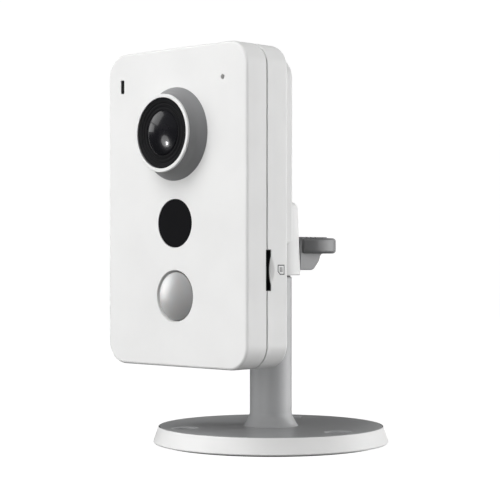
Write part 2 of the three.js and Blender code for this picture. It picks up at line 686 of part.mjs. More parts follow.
// Main board and what it carries
function mainBoard() {
  const plate = block([-BOARD_HALF, BOARD_FRONT, 5], [BOARD_HALF, BOARD_BACK, 105]);
  const holes = [
    ...COVER_SCREWS.map(({ x, z }) => rodY(1.3, 10, 13, x, z, SMALL)),
    ...BOARD_SCREWS.map(([x, z]) => rodY(1.1, 10, 13, x, z, SMALL)),
  ];
  return cut(plate, ...holes,
    panel(0, LENS_HEIGHT, 15.6, 15.6, 10, 13),
    panel(NETWORK.x, NETWORK.height, NETWORK.width / 2 + 0.2, NETWORK.tall / 2 + 0.2, 10, 13));
}

function cardSocket() {
  const mid = (CARD_SLOT.low + CARD_SLOT.high) / 2;
  return cut(block([17.5, 9.3, mid - 6.6], [32.0, 10.9, mid + 6.6]),
    block([20, 9.8, mid - 5.7], [34, 10.6, mid + 5.7]));
}

function networkJack() {
  const { x, height, width, tall, front, back } = NETWORK;
  return cut(panel(x, height, width / 2, tall / 2, front, back),
    block([x - 5.85, front + 1.7, height - 3.5], [x + 5.85, back + 1, height + 3.5]),
    block([x - 3.1, front + 4.2, height - 5.8], [x + 3.1, back + 1, height - 3.4]));
}

function powerJack() {
  const { x, height, front, back } = POWER;
  const mouth = panel(x, height, 3.5, 1.1, front + 1.5, back + 1);
  const shell = cut(panel(x, height, 4.0, 1.5, front, back), mouth);
  return join(shell, panel(x, height, 1.9, 0.3, front + 1, back - 0.8));
}

function resetButton() {
  const { x, height, radius, flange, front, back } = RESET;
  const [flangeLow, flangeHigh] = [front + 0.7, front + 1.5];
  const profile = [[0, front], [1.2, front], [1.2, flangeLow], [flange, flangeLow], [flange, flangeHigh],
    [radius, flangeHigh], [radius, back - 0.2], [radius - 0.2, back], [0, back]];
  return turnedY(profile, COARSE).translate(x, 0, height);
}

function resetSwitch() {
  const { x, height, front, travel } = RESET;
  return join(panel(x, height, 3, 3, BOARD_BACK + 0.1, BOARD_BACK + 2.8),
    rodY(1.2, BOARD_BACK + 2, front - travel - 0.1, x, height));
}

function speaker() {
  const back = BLOCK_BACK - WALL - 0.3;
  const profile = [[0, 15.0], [7.0, 15.0], [7.0, back - 3.7], [10.6, back - 3.7], [11.0, back - 3.3],
    [11.0, back], [10.0, back], [9.4, back - 0.8], [4.0, back - 2.4], [3.4, back - 1.8], [0, back - 1.3]];
  return turnedY(profile, MEDIUM).translate(0, 0, SPEAKER_HEIGHT);
}

place(camera, 'main_board', mainBoard(), board());
BOARD_SCREWS.forEach(([x, z], k) => {
  place(camera, `board_screw_${k + 1}`, screwY(x, z, 13.9, 1.4, 2.1, 0.8, 6), steel());
});
place(camera, 'processor_shield', panel(2, 52, 11, 8.5, 12.5, 15.2), steel());
place(camera, 'antenna_board', block([22.5, 10.0, 82], [29.5, 10.9, 96]), board());
place(camera, 'card_socket', cardSocket(), black());
place(camera, 'network_jack', networkJack(), black());
place(camera, 'power_jack', powerJack(), steel());
place(camera, 'reset_switch', resetSwitch(), black());
place(camera, 'reset_button', resetButton(), darkGrey());
place(camera, 'speaker', speaker(), black());

// Tilt bracket on the raised block: a plate with two arms that straddle the head's tongue
const PLATE_FRONT = BLOCK_BACK + 0.1;
const PLATE_BACK = PLATE_FRONT + BRACKET_PLATE.thickness;

function tiltBracket() {
  const axisY = TILT.y - FACE_Y;
  const axisZ = TILT.z - BODY_BASE_Z;
  const arm = new THREE.Shape();
  arm.moveTo(PLATE_BACK - 0.8, ARM.top);
  arm.absarc(axisY, axisZ, TILT.radius, ARM.startTurn, -Math.PI, true);
  arm.lineTo(PLATE_BACK - 0.8, ARM.low);
  const { height, width, tall, corner } = BRACKET_PLATE;
  const plate = pushedY(roundedRect(0, height, width, tall, corner), PLATE_FRONT, PLATE_BACK, 0.5);
  return cut(
    join(plate, pushedX(arm, ARM.inner, ARM.outer), pushedX(arm, -ARM.outer, -ARM.inner)),
    rodX(PIN_HOLE_R, -10, 10, axisY, axisZ),
    ...BRACKET_SCREWS.map(([x, z]) => rodY(1.2, 20, 30, x, z, SMALL)));
}

place(camera, 'tilt_bracket', tiltBracket(), white());
BRACKET_SCREWS.forEach(([x, z], k) => {
  place(camera, `bracket_screw_${k + 1}`, screwY(x, z, PLATE_BACK + 1.3, 1.2, 1.9, 0.95, 19), steel());
});

export default model;
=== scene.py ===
# Looks of a small security camera on a desk stand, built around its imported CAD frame.
# Everything is in metres. Outlines are drawn in millimetres and scaled by MM as meshes are made.

import json
import math

import bmesh
import bpy
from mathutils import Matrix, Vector


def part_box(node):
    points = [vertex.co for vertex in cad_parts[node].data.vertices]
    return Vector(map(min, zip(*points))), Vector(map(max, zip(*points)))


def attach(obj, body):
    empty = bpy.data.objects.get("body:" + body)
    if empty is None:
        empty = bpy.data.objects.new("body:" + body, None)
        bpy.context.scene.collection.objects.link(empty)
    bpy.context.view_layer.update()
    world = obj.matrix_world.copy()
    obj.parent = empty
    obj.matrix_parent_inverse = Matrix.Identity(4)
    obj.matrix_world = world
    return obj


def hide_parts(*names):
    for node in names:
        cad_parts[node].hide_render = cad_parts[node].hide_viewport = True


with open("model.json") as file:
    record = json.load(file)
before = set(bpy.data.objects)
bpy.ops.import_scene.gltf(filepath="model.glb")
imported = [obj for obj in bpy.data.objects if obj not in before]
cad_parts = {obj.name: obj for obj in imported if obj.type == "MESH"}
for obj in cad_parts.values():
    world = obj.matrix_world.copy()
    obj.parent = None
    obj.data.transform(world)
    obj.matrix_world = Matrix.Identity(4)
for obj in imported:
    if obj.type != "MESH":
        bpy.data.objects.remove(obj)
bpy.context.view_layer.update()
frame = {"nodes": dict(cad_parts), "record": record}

MM = 0.001
COMMON_NOISE = (0.3, 0.7)
BODY_OF = {node: body for body, nodes in frame["record"]["behaviour"]["bodies"].items() for node in nodes}
SLOT_OF = {part["node"]: part["material_slot"] for part in frame["record"]["subparts"]}


# ---------------------------------------------------------------- places taken from the frame, in mm

def low(node):
    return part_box(node)[0] / MM


def high(node):
    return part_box(node)[1] / MM


def middle(node):
    return (low(node) + high(node)) / 2


FACE_Y = low("front_cover").y
BASE_Z = low("front_cover").z
BODY_W = high("front_cover").x - low("front_cover").x
BODY_H = high("front_cover").z - BASE_Z
SEAM_BACK = low("rear_cover").y
BLOCK_BACK = high("rear_cover").y
LENS = middle("lens_trim_ring")
INFRARED = middle("infrared_window")
MOTION = middle("motion_dome")
PIPE = middle("light_pipe")
MIC = middle("microphone")
TILT = middle("tilt_pin")
LEVER = middle("lever_pin")
NETWORK = middle("network_jack")
POWER = middle("power_jack")
RESET = middle("reset_button")
SPEAKER = middle("speaker")


def depth(value):
    """A depth behind the camera's front face, as a place along Y."""
    return FACE_Y + value


def height(value):
    """A height above the camera's lower edge, as a place along Z."""
    return BASE_Z + value


# ---------------------------------------------------------------- materials

def shader(name):
    material = bpy.data.materials.new(name)
    material.use_nodes = True
    tree = material.node_tree
    return material, tree, tree.nodes["Principled BSDF"]


def noise(tree, scale, detail=2.0, stretch=None):
    """Noise in object space; its output is the Fac socket."""
    coord = tree.nodes.new("ShaderNodeTexCoord")
    texture = tree.nodes.new("ShaderNodeTexNoise")
    texture.inputs["Scale"].default_value = scale
    texture.inputs["Detail"].default_value = detail
    source = coord.outputs["Object"]
    if stretch:
        mapping = tree.nodes.new("ShaderNodeMapping")
        mapping.inputs["Scale"].default_value = stretch
        tree.links.new(source, mapping.inputs["Vector"])
        source = mapping.outputs["Vector"]
    tree.links.new(source, texture.inputs["Vector"])
    return texture.outputs["Fac"]


def spread(tree, value, start, end):
    """Maps the values that noise mostly has on to a range."""
    ranger = tree.nodes.new("ShaderNodeMapRange")
    ranger.inputs["From Min"].default_value = COMMON_NOISE[0]
    ranger.inputs["From Max"].default_value = COMMON_NOISE[1]
    ranger.inputs["To Min"].default_value = start
    ranger.inputs["To Max"].default_value = end
    tree.links.new(value, ranger.inputs["Value"])
    return ranger.outputs["Result"]


def tone(tree, value, dark, light):
    ramp = tree.nodes.new("ShaderNodeValToRGB")
    ramp.color_ramp.elements[0].position = COMMON_NOISE[0]
    ramp.color_ramp.elements[0].color = (*dark, 1)
    ramp.color_ramp.elements[1].position = COMMON_NOISE[1]
    ramp.color_ramp.elements[1].color = (*light, 1)
    tree.links.new(value, ramp.inputs["Fac"])
    return ramp.outputs["Color"]


def bump(tree, surface, value, distance, strength=1.0):
    node = tree.nodes.new("ShaderNodeBump")
    node.inputs["Strength"].default_value = strength
    node.inputs["Distance"].default_value = distance
    tree.links.new(value, node.inputs["Height"])
    tree.links.new(node.outputs["Normal"], surface.inputs["Normal"])


def scaled(colour, factor):
    return tuple(min(channel * factor, 1.0) for channel in colour)


def moulded(name, colour, roughness, grain=2600, relief=0.006, vary=0.03, level=0.5, uneven=0.05):
    """Moulded plastic: a fine spark texture, faint flow shading and uneven gloss."""
    material, tree, surface = shader(name)
    cloud = noise(tree, 45, 3)
    tree.links.new(tone(tree, cloud, scaled(colour, 1 - vary), scaled(colour, 1 + vary / 2)),
                   surface.inputs["Base Color"])
    tree.links.new(spread(tree, noise(tree, 160, 3), roughness - uneven, roughness + uneven),
                   surface.inputs["Roughness"])
    surface.inputs["Specular IOR Level"].default_value = level
    bump(tree, surface, noise(tree, grain, 2), relief * MM, 0.6)
    return material


def metal(name, colour, roughness, stretch=(1, 1, 12), relief=0.004):
    """Plated steel with fine brush lines."""
    material, tree, surface = shader(name)
    lines = noise(tree, 700, 3, stretch)
    tree.links.new(tone(tree, noise(tree, 90, 3), scaled(colour, 0.9), scaled(colour, 1.06)),
                   surface.inputs["Base Color"])
    tree.links.new(spread(tree, lines, roughness - 0.08, roughness + 0.1), surface.inputs["Roughness"])
    surface.inputs["Metallic"].default_value = 1.0
    bump(tree, surface, lines, relief * MM, 0.5)
    return material


def polished(name, colour, roughness, coat=0.5):
    """Glossy filter plastic or dark glass with faint smears."""
    material, tree, surface = shader(name)
    tree.links.new(tone(tree, noise(tree, 70, 2), scaled(colour, 0.9), scaled(colour, 1.1)),
                   surface.inputs["Base Color"])
    tree.links.new(spread(tree, noise(tree, 140, 4), roughness, roughness + 0.06),
                   surface.inputs["Roughness"])
    surface.inputs["Coat Weight"].default_value = coat
    surface.inputs["Coat Roughness"].default_value = 0.03
    bump(tree, surface, noise(tree, 220, 2), 0.002 * MM, 0.3)
    return material


def milky(name, colour):
    """The motion sensor's milky lens: light passes into it, and its skin has a soft gloss."""
    material, tree, surface = shader(name)
    tree.links.new(tone(tree, noise(tree, 110, 2), scaled(colour, 0.97), colour),
                   surface.inputs["Base Color"])
    tree.links.new(spread(tree, noise(tree, 300, 3), 0.42, 0.48), surface.inputs["Roughness"])
    surface.inputs["Subsurface Weight"].default_value = 0.1
    surface.inputs["Subsurface Scale"].default_value = 0.8 * MM
    surface.inputs["Coat Weight"].default_value = 0.3
    surface.inputs["Coat Roughness"].default_value = 0.4
    bump(tree, surface, noise(tree, 1400, 2), 0.004 * MM, 0.4)
    return material


def solder_mask(name):
    """Green board: glossy mask over faint copper tracks."""
    material, tree, surface = shader(name)
    tracks = noise(tree, 420, 1, (1, 1, 0.3))
    tree.links.new(tone(tree, tracks, (0.01, 0.08, 0.04), (0.03, 0.17, 0.09)), surface.inputs["Base Color"])
    tree.links.new(spread(tree, noise(tree, 240, 2), 0.25, 0.4), surface.inputs["Roughness"])
    bump(tree, surface, tracks, 0.02 * MM, 0.6)
    return material


WHITE = (0.80, 0.80, 0.795)
MATERIALS = {
    "shell_white": moulded("white_shell_plastic", WHITE, 0.48),
    # The stand's grey is partly its plastic's own tone and partly painted shade: it is set dark so the base
    # top and the column look shaded.
    "stand_grey": moulded("stand_plastic_with_painted_shade", (0.41, 0.414, 0.42), 0.32,
                          relief=0.003, vary=0.02, uneven=0.015),
    # The lever is the stand's plastic; its tone is set darker to paint in the shade that falls on its hub
    # behind the head.
    "lever_grey": moulded("lever_plastic_with_painted_shade", (0.2, 0.202, 0.206), 0.34,
                          relief=0.004, vary=0.04, uneven=0.02),
    "surround_grey": moulded("grey_surround_plastic", (0.25, 0.252, 0.256), 0.5, vary=0.05),
    "black_plastic": moulded("black_plastic_skin", (0.013, 0.013, 0.014), 0.5, vary=0.15, level=0.2),
    "washer_nylon": moulded("dark_nylon", (0.1, 0.1, 0.1), 0.55, vary=0.1),
    "window_black": moulded("infrared_filter", (0.009, 0.009, 0.01), 0.4,
                            grain=400, relief=0.002, vary=0.1, level=0.1),
    "lens_glass": polished("coated_glass", (0.006, 0.006, 0.008), 0.22, 1.0),
    "dome_white": milky("milky_lens", (0.28, 0.28, 0.28)),
    "pad_rubber": moulded("pad_rubber_skin", (0.045, 0.045, 0.047), 0.85, grain=1500, relief=0.02, vary=0.2),
    "steel": metal("plated_steel", (0.62, 0.63, 0.65), 0.32),
    "circuit_board": solder_mask("green_solder_mask"),
    "lamp_epoxy": polished("lamp_epoxy_cast", (0.55, 0.5, 0.32), 0.12, 0.4),
    "smoked_clear": moulded("smoked_light_pipe", (0.012, 0.012, 0.013), 0.45, vary=0.1, level=0.15),
}
GOLD = metal("gold_contacts", (0.85, 0.62, 0.25), 0.25)
PRINT = moulded("printed_mark", (0.09, 0.09, 0.095), 0.6, vary=0.1)


# ---------------------------------------------------------------- mesh helpers, in mm

def new_piece(name, verts, faces, material):
    mesh = bpy.data.meshes.new(name)
    mesh.from_pydata([Vector(v) * MM for v in verts], [], faces)
    mesh.materials.append(material)
    piece = bpy.data.objects.new(name, mesh)
    bpy.context.scene.collection.objects.link(piece)
    tidy_faces(piece)
    return piece


def tidy_faces(piece):
    """Faces point out, doubled points are merged, and shading is smooth."""
    shape = bmesh.new()
    shape.from_mesh(piece.data)
    bmesh.ops.remove_doubles(shape, verts=shape.verts, dist=1e-7)
    bmesh.ops.recalc_face_normals(shape, faces=shape.faces)
    for face in shape.faces:
        face.smooth = True
    shape.to_mesh(piece.data)
    shape.free()


def arc(centre, radius, start, end, steps):
    """Points on an arc, with angles in degrees."""
    points = []
    for k in range(steps + 1):
        turn = math.radians(start + (end - start) * k / steps)
        points.append((centre[0] + radius * math.cos(turn), centre[1] + radius * math.sin(turn)))
    return points


def rounded(corners, steps=5):
    """A closed outline from corners (a, b) or (a, b, radius), each radius drawn as an arc."""
    points = []
    count = len(corners)
    for k, corner in enumerate(corners):
        here = Vector(corner[:2])
        radius = corner[2] if len(corner) > 2 else 0
        if not radius:
            points.append(tuple(here))
            continue
        back = (Vector(corners[k - 1][:2]) - here).normalized()
        ahead = (Vector(corners[(k + 1) % count][:2]) - here).normalized()
        half = back.angle(ahead) / 2
        centre = here + (back + ahead).normalized() * (radius / math.sin(half))
        first = here + back * (radius / math.tan(half)) - centre
        last = here + ahead * (radius / math.tan(half)) - centre
        start = math.atan2(first.y, first.x)
        sweep = (math.atan2(last.y, last.x) - start + math.pi) % (2 * math.pi) - math.pi
        for j in range(steps + 1):
            turn = start + sweep * j / steps
            points.append((centre.x + radius * math.cos(turn), centre.y + radius * math.sin(turn)))
    return points


def placed(axis, origin, radial, along, turn):
    """A point at a radius and a place along an axis, turned about it."""
    side, up = radial * math.cos(turn), radial * math.sin(turn)
    if axis == "X":
        return (origin[0] + along, origin[1] + side, origin[2] + up)
    if axis == "Y":
        return (origin[0] + side, origin[1] + along, origin[2] + up)
    return (origin[0] + side, origin[1] + up, origin[2] + along)


def turned(name, profile, origin, axis, material, sides=96):
    """A lathe body: a profile of (radius, along) that ends on the axis or closes on itself."""
    rings = []
    verts = []
    for radius, along in profile:
        if radius < 1e-6:
            rings.append([len(verts)])
            verts.append(placed(axis, origin, 0, along, 0))
            continue
        rings.append(list(range(len(verts), len(verts) + sides)))
        verts += [placed(axis, origin, radius, along, 2 * math.pi * k / sides) for k in range(sides)]
    pairs = list(zip(rings, rings[1:]))
    if len(rings[0]) > 1 and len(rings[-1]) > 1:
        pairs.append((rings[-1], rings[0]))
    faces = []
    for a, b in pairs:
        for k in range(sides):
            j = (k + 1) % sides
            ring = [a[k % len(a)], a[j % len(a)], b[j % len(b)], b[k % len(b)]]
            corners = [v for i, v in enumerate(ring) if v not in ring[:i]]
            if len(corners) > 2:
                faces.append(corners)
    return new_piece(name, verts, faces, material)


def lofted(name, rings, material):
    """Rings of equal length, joined in order and capped at both ends."""
    verts = [point for ring in rings for point in ring]
    size = len(rings[0])
    faces = [list(range(size)), list(range(len(verts) - size, len(verts)))]
    for r in range(len(rings) - 1):
        for k in range(size):
            j = (k + 1) % size
            faces.append([r * size + k, r * size + j, (r + 1) * size + j, (r + 1) * size + k])
    return new_piece(name, verts, faces, material)


def prism(name, outline, axis, start, end, material):
    """An outline pushed along an axis: (Y, Z) along X, (X, Z) along Y, or (X, Y) along Z."""
    def ring(along):
        if axis == "X":
            return [(along, a, b) for a, b in outline]
        if axis == "Y":
            return [(a, along, b) for a, b in outline]
        return [(a, b, along) for a, b in outline]
    return lofted(name, [ring(start), ring(end)], material)


def card(x, z, width, tall, radius, steps=12, low_radius=None):
    """A rectangle with round corners, as an outline in X and Z."""
    foot = radius if low_radius is None else low_radius
    return rounded([(x - width / 2, z - tall / 2, foot), (x + width / 2, z - tall / 2, foot),
                    (x + width / 2, z + tall / 2, radius), (x - width / 2, z + tall / 2, radius)], steps)


def slab(name, x, z, width, tall, radius, profile, material, low_radius=None):
    """A card-shaped body from a profile of (inset, place along Y), capped at both ends."""
    rings = []
    for inset, along in profile:
        foot = None if low_radius is None else low_radius - inset
        outline = card(x, z, width - 2 * inset, tall - 2 * inset, radius - inset, 12, foot)
        rings.append([(a, along, b) for a, b in outline])
    return lofted(name, rings, material)


def quarter(radius, inset_from, along_from, forward, steps=5):
    """A quarter round between a face and a side, as (inset, along) pairs, from the face to the side."""
    points = []
    for k in range(steps + 1):
        turn = math.radians(90 * k / steps)
        inset = inset_from - radius * math.sin(turn)
        points.append((inset, along_from + forward * radius * (1 - math.cos(turn))))
    return points


def settle(piece):
    """Applies the piece's modifiers."""
    graph = bpy.context.evaluated_depsgraph_get()
    done = bpy.data.meshes.new_from_object(piece.evaluated_get(graph))
    old = piece.data
    piece.modifiers.clear()
    piece.data = done
    bpy.data.meshes.remove(old)


def combine(piece, others, operation):
    for other in others:
        modifier = piece.modifiers.new(operation.lower(), "BOOLEAN")
        modifier.operation = operation
        modifier.solver = "EXACT"
        modifier.object = other
        settle(piece)
        spent = other.data
        bpy.data.objects.remove(other)
        bpy.data.meshes.remove(spent)
    tidy_faces(piece)
    return piece


def cut(piece, *tools):
    return combine(piece, tools, "DIFFERENCE")


def join(piece, *others):
    return combine(piece, others, "UNION")


def soften(piece, width, segments=3, angle=38, apply=False):
    """Rounds every edge sharper than the angle; unless the rounding is applied at once, it then evens the
    shading of flat faces.
    """
    bevel = piece.modifiers.new("edge_round", "BEVEL")
    bevel.width = width * MM
    bevel.segments = segments
    bevel.limit_method = "ANGLE"
    bevel.angle_limit = math.radians(angle)
    bevel.use_clamp_overlap = True
    if apply:
        settle(piece)
        return piece
    even = piece.modifiers.new("even_shading", "WEIGHTED_NORMAL")
    even.keep_sharp = True
    return piece


def dress(piece, node, *more):
    """The piece rides with a CAD node's body and stands for it; the node is hidden."""
    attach(piece, BODY_OF[node])
    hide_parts(node, *more)
    return piece


def extra(piece, body):
    """A detail with no CAD node of its own."""
    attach(piece, body)
    return piece


def tool_rod(axis, radius, start, end, origin, sides=64):
    return turned("tool", [(0, start), (radius, start), (radius, end), (0, end)], origin, axis,
                  MATERIALS["steel"], sides)


def tool_box(lowest, highest):
    outline = [(lowest[0], lowest[1]), (highest[0], lowest[1]),
               (highest[0], highest[1]), (lowest[0], highest[1])]
    return prism("tool", outline, "Z", lowest[2], highest[2], MATERIALS["steel"])


# ---------------------------------------------------------------- front cover

BODY_X = 0.0
BODY_Z = BASE_Z + BODY_H / 2
CORNER = 8.3
WALL = 2.0
FRONT_WALL = 2.4
FRONT_END = SEAM_BACK - 0.5
LENS_HOLE_R = 14.0
MOTION_HOLE_R = 9.04
INFRARED_R = (high("infrared_window").x - low("infrared_window").x) / 2
CARD_LOW = height(26.4)
CARD_HIGH = height(40.3)
CARD_FRONT = depth(9.1)
CARD_BACK = depth(11.7)
MOTION_THROAT_R = 8.6
EDGE = 0.12
WHITE_SKIN = MATERIALS["shell_white"]


def card_slot_tool():
    return tool_box((BODY_W / 2 - 4, CARD_FRONT, CARD_LOW), (BODY_W / 2 + 2, CARD_BACK, CARD_HIGH))


def front_shell():
    profile = quarter(1.0, 1.0, FACE_Y, 1) + [(0, FRONT_END - EDGE), (EDGE, FRONT_END)]
    profile += [(WALL, FRONT_END), (WALL, depth(FRONT_WALL + 0.6)), (WALL + 0.6, depth(FRONT_WALL))]
    piece = slab("front_shell", BODY_X, BODY_Z, BODY_W, BODY_H, CORNER, profile, WHITE_SKIN)
    reach = (FACE_Y - 2, FACE_Y + 4)
    slot_tool = prism("tool", card(PIPE.x, PIPE.z, 1.8, 4.9, 0.45, 5), "Y", *reach, WHITE_SKIN)
    cut(piece,
        tool_rod("Y", LENS_HOLE_R, -2, 6, (LENS.x, FACE_Y, LENS.z), 128),
        tool_rod("Y", INFRARED_R + EDGE, -2, 1.4, (INFRARED.x, FACE_Y, INFRARED.z), 128),
        tool_rod("Y", INFRARED_R - 1.1, -2, 6, (INFRARED.x, FACE_Y, INFRARED.z), 96),
        turned("tool", [(0, -1), (MOTION_HOLE_R, -1), (MOTION_HOLE_R, 0.1),
                        (MOTION_THROAT_R, 0.7), (MOTION_THROAT_R, 6), (0, 6)],
               (MOTION.x, FACE_Y, MOTION.z), "Y", WHITE_SKIN, 128),
        tool_rod("Y", 0.9, -2, 6, (MIC.x, FACE_Y, MIC.z), 40),
        slot_tool,
        card_slot_tool())
    soften(piece, 0.13, 2)
    return dress(piece, "front_cover")


front_shell()


# ---------------------------------------------------------------- rear cover with its raised block

REAR_PLANE = depth(20.3)
BLOCK_W = 63.4
BLOCK_TOP = height(106.7)
BLOCK_LOW = height(40.3)
BLOCK_SLOPE = 3.4
SCOOP_R = 14.5
SLOT_PITCH = 2.8
COVER_SCREWS = [f"cover_screw_{k}" for k in (1, 2, 3, 4)]
BRACKET_SCREWS = [f"bracket_screw_{k}" for k in (1, 2, 3, 4)]


def scoop_ball(extra_radius):
    """The ball that hollows the side behind the card slot, for a fingertip."""
    radius = SCOOP_R + extra_radius
    half_circle = [(radius * math.cos(math.radians(t)), radius * math.sin(math.radians(t)))
                   for t in range(-90, 91, 4)]
    half_circle[0], half_circle[-1] = (0, -radius), (0, radius)
    centre = (BODY_W / 2 + 12.94, CARD_BACK - 4.35, (CARD_LOW + CARD_HIGH) / 2)
    return turned("tool", half_circle, centre, "X", WHITE_SKIN, 96)


def speaker_slots():
    """Four short slots in front of the loudspeaker."""
    tools = []
    for k in (-1.5, -0.5, 0.5, 1.5):
        outline = card(SPEAKER.x, SPEAKER.z + SLOT_PITCH * k, 16, 1.3, 0.6, 4)
        tools.append(prism("tool", outline, "Y", BLOCK_BACK - 3, BLOCK_BACK + 1, WHITE_SKIN))
    return tools


def rear_shell():
    profile = [(EDGE, SEAM_BACK), (0, SEAM_BACK + EDGE)]
    profile += [(inset, along) for inset, along in reversed(quarter(1.4, 1.4, REAR_PLANE, -1))]
    piece = slab("rear_shell", BODY_X, BODY_Z, BODY_W, BODY_H, CORNER, profile, WHITE_SKIN)
    block_profile = [(0, REAR_PLANE - 2.5)]
    block_profile += [(inset, along) for inset, along in reversed(quarter(1.2, 1.2, BLOCK_BACK, -1))]
    block = slab("block", BODY_X, (BLOCK_TOP + BLOCK_LOW) / 2, BLOCK_W, BLOCK_TOP - BLOCK_LOW, 8.0,
                 block_profile, WHITE_SKIN, low_radius=3.0)
    slope = [(REAR_PLANE, BLOCK_LOW - 0.2), (BLOCK_BACK + 1, BLOCK_LOW + BLOCK_SLOPE + 0.6),
             (BLOCK_BACK + 1, BLOCK_LOW - 3), (REAR_PLANE, BLOCK_LOW - 3)]
    wedge = prism("tool", slope, "X", -50, 50, WHITE_SKIN)
    join(piece, cut(block, wedge))
    inner = slab("tool", BODY_X, BODY_Z, BODY_W - 2 * WALL, BODY_H - 2 * WALL, CORNER - WALL,
                 [(0, SEAM_BACK - 1), (0, REAR_PLANE - WALL)], WHITE_SKIN)
    block_mid = height(75.2)
    block_inner = slab("tool", BODY_X, block_mid, BLOCK_W - 4, 59, 6.0,
                       [(0, REAR_PLANE - WALL - 1), (0, BLOCK_BACK - WALL)], WHITE_SKIN)
    tools = [inner, block_inner, scoop_ball(0), card_slot_tool()]
    for node in COVER_SCREWS:
        spot = middle(node)
        back = high(node).y
        tools.append(tool_rod("Y", 2.5, back - 1.2, back + 8, (spot.x, 0, spot.z), 40))
    tools += speaker_slots()
    tools.append(prism("tool", card(NETWORK.x, NETWORK.z, 16.6, 14.1, 0.6, 4), "Y",
                       REAR_PLANE - 3, REAR_PLANE + 1, WHITE_SKIN))
    tools.append(prism("tool", card(POWER.x, POWER.z, 8.5, 3.6, 0.5, 4), "Y",
                       REAR_PLANE - 3, REAR_PLANE + 1, WHITE_SKIN))
    tools.append(tool_rod("Y", 2.1, REAR_PLANE - 3, REAR_PLANE + 1, (RESET.x, 0, RESET.z), 48))
    cut(piece, *tools)
    soften(piece, 0.13, 2)
    return dress(piece, "rear_cover")


rear_shell()


def card_mark():
    """A plain memory-card outline with two contact bars, printed beside the slot."""
    side = BODY_W / 2
    left, right = depth(14.9), depth(18.2)
    bottom, top = height(31.8), height(35.2)
    line, clip = 0.35, 1.1
    proud, sunk = side + 0.015, side - 0.1
    outer = [(left, top), (right, top), (right, bottom), (left + clip, bottom), (left, bottom + clip)]
    inner = [(left + line, top - line), (right - line, top - line), (right - line, bottom + line),
             (left + clip + line * 0.4, bottom + line), (left + line, bottom + clip + line * 0.4)]
    verts = [(proud, a, b) for a, b in outer + inner]
    verts += [(sunk, a, b) for a, b in outer + inner]
    count = len(outer)
    faces = []
    for k in range(count):
        j = (k + 1) % count
        faces.append([k, j, count + j, count + k])
        faces.append([2 * count + k, 2 * count + j, 3 * count + j, 3 * count + k])
        faces.append([k, j, 2 * count + j, 2 * count + k])
        faces.append([count + k, count + j, 3 * count + j, 3 * count + k])
    mark = new_piece("card_mark", verts, faces, PRINT)
    extra(mark, "camera")
    for k in (0, 1):
        start = left + 1.0 + 0.85 * k
        bar = prism(f"card_mark_bar_{k + 1}", [(start, bottom + 0.9), (start + 0.4, bottom + 0.9),
                    (start + 0.4, top - 0.8), (start, top - 0.8)], "X", sunk, proud, PRINT)
        extra(bar, "camera")


card_mark()


def socket_mouth():
    """The memory-card socket with its dark lip, which lines the slot in the side."""
    mid = (CARD_LOW + CARD_HIGH) / 2
    half = (CARD_HIGH - CARD_LOW) / 2 - 0.06
    front, back = CARD_FRONT + 0.06, CARD_BACK - 0.06
    side = BODY_W / 2
    skin = MATERIALS["black_plastic"]
    body = tool_box((17.5, low("card_socket").y, mid - 6.6), (32.2, high("card_socket").y, mid + 6.6))
    lip = tool_box((31.6, front, mid - half), (side - 0.15, back, mid + half))
    for box in (body, lip):
        box.data.materials.clear()
        box.data.materials.append(skin)
    join(body, lip)
    cut(body,
        tool_box((20, front + 0.5, mid - 5.7), (side + 1, front + 1.3, mid + 5.7)),
        tool_box((33.0, front + 0.22, mid - half + 0.3), (side + 1, back - 0.22, mid + half - 0.3)),
        scoop_ball(0.1))
    body.name = "card_socket_mouth"
    dress(soften(body, 0.06, 1), "card_socket")


socket_mouth()


# ---------------------------------------------------------------- lens group, turned about the lens axis

LENS_AXIS = (LENS.x, FACE_Y, LENS.z)
RIM_FRONT = low("lens_trim_ring").y - FACE_Y


def lens_group():
    cone = turned("lens_cone", rounded([
        (12.4, RIM_FRONT + 0.85), (13.45, RIM_FRONT + 0.85, 0.1), (14.25, -3.0, 3.0), (15.7, -0.7, 2.0),
        (16.1, -0.05, 0.03), (13.7, -0.05), (13.7, 3.4), (12.4, 3.4)], 6), LENS_AXIS, "Y",
        MATERIALS["surround_grey"], 128)
    dress(soften(cone, 0.05, 2), "lens_surround")
    rim = turned("lens_rim", rounded([
        (12.12, RIM_FRONT + 0.75), (12.12, RIM_FRONT, 0.2),
        (13.4, RIM_FRONT, 0.3), (13.4, RIM_FRONT + 0.75)], 5),
        LENS_AXIS, "Y", WHITE_SKIN, 128)
    dress(soften(rim, 0.03, 1), "lens_trim_ring")
    funnel = turned("lens_funnel", rounded([
        (11.95, 2.0), (7.75, 2.0), (7.75, -5.9, 0.1), (8.5, -5.85, 0.1), (8.65, -5.6, 0.1), (9.2, -5.6, 0.1),
        (9.35, -5.8, 0.1), (9.9, -5.82, 0.1), (10.05, -5.65, 0.1), (10.4, -5.65, 0.1), (10.55, -5.85, 0.1),
        (11.75, -6.0, 0.15), (11.95, -5.8)], 4), LENS_AXIS, "Y", MATERIALS["black_plastic"], 128)
    dress(soften(funnel, 0.03, 1), "lens_bezel")
    radius, ball, apex, back = 7.6, 16.15, -7.8, 1.0
    span = math.degrees(math.asin(radius / ball))
    front = [(r, y) for y, r in arc((apex + ball, 0), ball, 180, 180 - span, 14)]
    front[0] = (0, apex)
    edge = [(7.65, -5.85), (7.65, -5.5), (radius, back), (0, back)]
    glass = turned("lens_front_glass", front + edge, LENS_AXIS, "Y", MATERIALS["lens_glass"], 96)
    dress(glass, "lens_front_element")


lens_group()


# ---------------------------------------------------------------- infrared window, motion dome, status light

def infrared_pane():
    r = INFRARED_R
    pane = turned("infrared_pane", rounded([
        (0, 0.05), (r, 0.05, 0.25), (r, 1.3), (0, 1.3)], 5), (INFRARED.x, FACE_Y, INFRARED.z), "Y",
        MATERIALS["window_black"], 128)
    dress(pane, "infrared_window")


